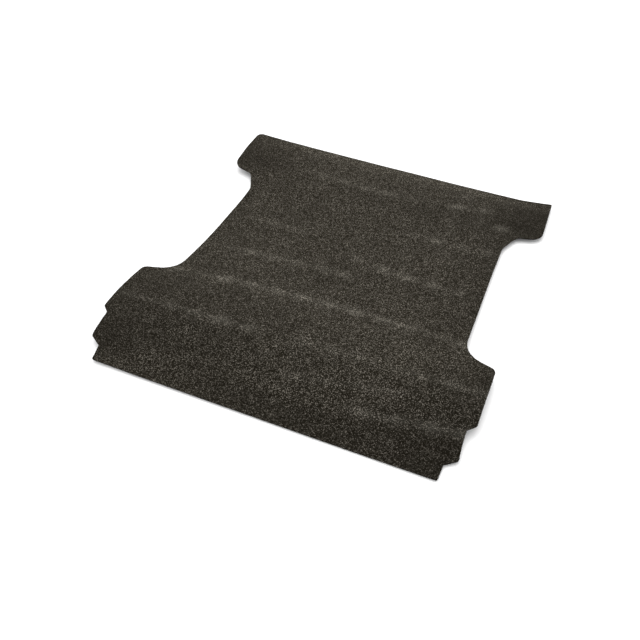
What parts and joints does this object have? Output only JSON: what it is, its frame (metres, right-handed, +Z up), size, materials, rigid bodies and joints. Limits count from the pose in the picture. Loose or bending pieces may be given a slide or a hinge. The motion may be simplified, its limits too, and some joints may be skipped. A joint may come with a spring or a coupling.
{
  "type": "truck bed floor mat",
  "caption": "Flat charcoal carpet mat for a pickup bed floor, cut around both wheel housings and the tailgate jambs, on foam panels and hook tape.",
  "frame": {"origin": "centre of the mat's bounding box, at its lowest point", "axes": "+X to the truck's right side, +Y forward to the bulkhead, along the mat's length, +Z up out of the carpet face"},
  "size_m": [1.5984, 1.707, 0.0718],
  "materials": {
    "carpet": "needle-punched, speckled charcoal pile",
    "rubber_back_coat": "matt, lightly textured",
    "foam": "closed-cell polyethylene foam skin",
    "hook_tape": "rows of moulded hooks",
    "adhesive": "smooth pressure-sensitive foam tape"
  },
  "bodies": {
    "root": {"carpet_face": "carpet", "carpet_backing": "rubber_back_coat", "foam_pad_rear": "foam", "foam_pad_centre": "foam", "foam_pad_front": "foam", "adhesive_pad_rear_left": "adhesive", "hook_tape_rear_left": "hook_tape", "adhesive_pad_rear_centre": "adhesive", "hook_tape_rear_centre": "hook_tape", "adhesive_pad_rear_right": "adhesive", "hook_tape_rear_right": "hook_tape", "adhesive_pad_side_left": "adhesive", "hook_tape_side_left": "hook_tape", "adhesive_pad_side_right": "adhesive", "hook_tape_side_right": "hook_tape", "adhesive_pad_front_left": "adhesive", "hook_tape_front_left": "hook_tape", "adhesive_pad_front_centre": "adhesive", "hook_tape_front_centre": "hook_tape", "adhesive_pad_front_right": "adhesive", "hook_tape_front_right": "hook_tape"}
  },
  "joints": []
}
